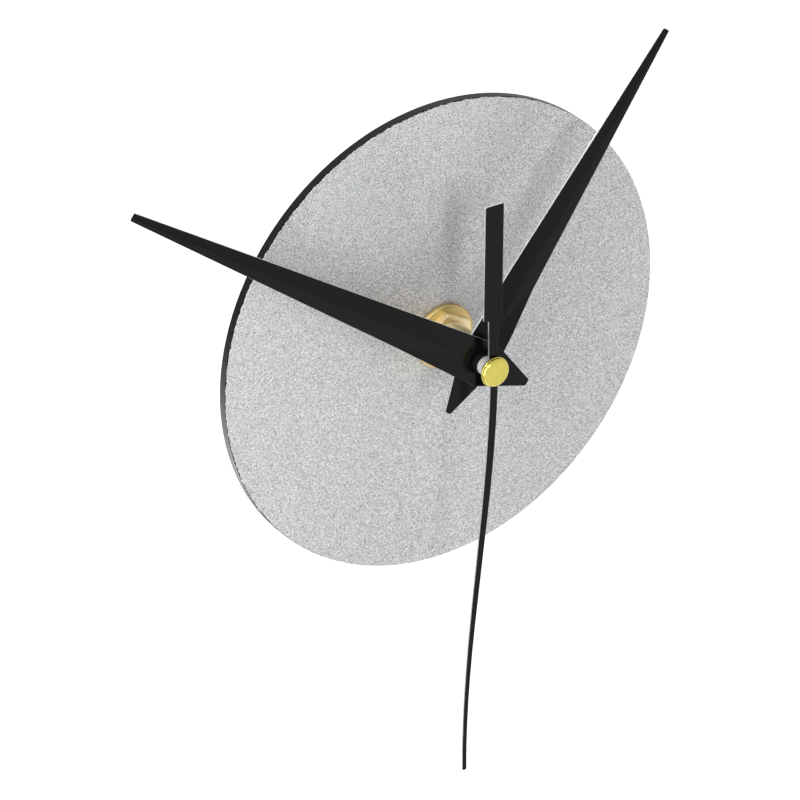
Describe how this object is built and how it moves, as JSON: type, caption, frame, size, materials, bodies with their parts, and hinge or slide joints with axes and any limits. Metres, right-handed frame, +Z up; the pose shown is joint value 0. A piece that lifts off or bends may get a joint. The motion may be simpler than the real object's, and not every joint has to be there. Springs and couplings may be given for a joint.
{
  "type": "frameless wall clock",
  "caption": "Frameless quartz wall clock: a silver-faced disc on a movement, with black tapered hands longer than the disc, held by a brass stem and nut.",
  "frame": {"origin": "where the hand axis meets the wall, on the movement's rear face", "axes": "+Z up, the clock faces -Y, +X to the viewer's right"},
  "size_m": [0.1303, 0.0391, 0.1486],
  "materials": {
    "black_board": "dark textured edge",
    "silver_film": "fine silver metallic grain",
    "rubber": "matt",
    "brass": "turned and lightly polished",
    "black_hand": "semi-gloss black paint on stamped sheet",
    "white_plastic": "moulded acetal",
    "black_plastic": "moulded, fine texture",
    "steel": "plated sheet",
    "copper_wire": "enamelled copper winding",
    "circuit": "green lacquer",
    "epoxy": "cured drop",
    "magnet": "sintered",
    "cell_sleeve": "plain printed-free sleeve"
  },
  "bodies": {
    "movement": {"dial_board": "black_board", "dial_film": "silver_film", "rubber_washer": "rubber", "brass_washer": "brass", "hex_nut": "brass", "threaded_stem": "brass", "stator": "steel", "coil_core": "steel", "coil_bobbin": "white_plastic", "coil_winding": "copper_wire", "circuit_board": "circuit", "chip": "epoxy", "crystal": "steel", "battery": "cell_sleeve", "contact_plus": "steel", "contact_minus": "steel", "front_case": "black_plastic", "middle_plate": "black_plastic", "rear_cover": "black_plastic", "case_screws": "steel", "hanger": "steel"},
    "minute_group": {"minute_hand": "black_hand", "minute_collet": "brass", "minute_arbor": "white_plastic", "centre_wheel": "white_plastic", "clutch_spring": "steel"},
    "hour_group": {"hour_hand": "black_hand", "hour_collet": "brass", "hour_wheel": "white_plastic"},
    "second_group": {"second_hand": "black_hand", "second_button": "brass", "second_wheel": "steel"},
    "works_group": {"minute_works_wheel": "white_plastic"},
    "third_group": {"third_wheel": "white_plastic"},
    "step_group": {"step_wheel": "white_plastic"},
    "rotor_group": {"rotor_pinion": "white_plastic", "rotor_magnet": "magnet"},
    "knob_group": {"set_knob": "black_plastic"}
  },
  "joints": [
    {"name": "minute_turn", "type": "hinge", "parent": "movement", "child": "minute_group", "pos_m": [0, 0, 0], "axis": [0, 1, 0], "continuous": true},
    {"name": "hour_turn", "type": "hinge", "parent": "movement", "child": "hour_group", "pos_m": [0, 0, 0], "axis": [0, 1, 0], "continuous": true},
    {"name": "second_turn", "type": "hinge", "parent": "movement", "child": "second_group", "pos_m": [0, 0, 0], "axis": [0, 1, 0], "continuous": true},
    {"name": "works_turn", "type": "hinge", "parent": "movement", "child": "works_group", "pos_m": [-0.00927, 0, -0.00248], "axis": [0, 1, 0], "continuous": true},
    {"name": "third_turn", "type": "hinge", "parent": "movement", "child": "third_group", "pos_m": [-0.00662, 0, 0.00662], "axis": [0, 1, 0], "continuous": true},
    {"name": "step_turn", "type": "hinge", "parent": "movement", "child": "step_group", "pos_m": [0.00679, 0, 0.00679], "axis": [0, 1, 0], "continuous": true},
    {"name": "rotor_turn", "type": "hinge", "parent": "movement", "child": "rotor_group", "pos_m": [0.01252, 0, 0.0108], "axis": [0, 1, 0], "continuous": true},
    {"name": "knob_turn", "type": "hinge", "parent": "movement", "child": "knob_group", "pos_m": [-0.01847, 0, -0.00248], "axis": [0, 1, 0], "continuous": true}
  ],
  "couplings": [
    {"joint": "hour_turn", "follows": "minute_turn", "ratio": 0.083333},
    {"joint": "works_turn", "follows": "minute_turn", "ratio": -0.33333},
    {"joint": "knob_turn", "follows": "minute_turn", "ratio": 1.2},
    {"joint": "third_turn", "follows": "minute_turn", "ratio": -8},
    {"joint": "second_turn", "follows": "minute_turn", "ratio": 60},
    {"joint": "step_turn", "follows": "minute_turn", "ratio": -300},
    {"joint": "rotor_turn", "follows": "minute_turn", "ratio": 1800}
  ]
}
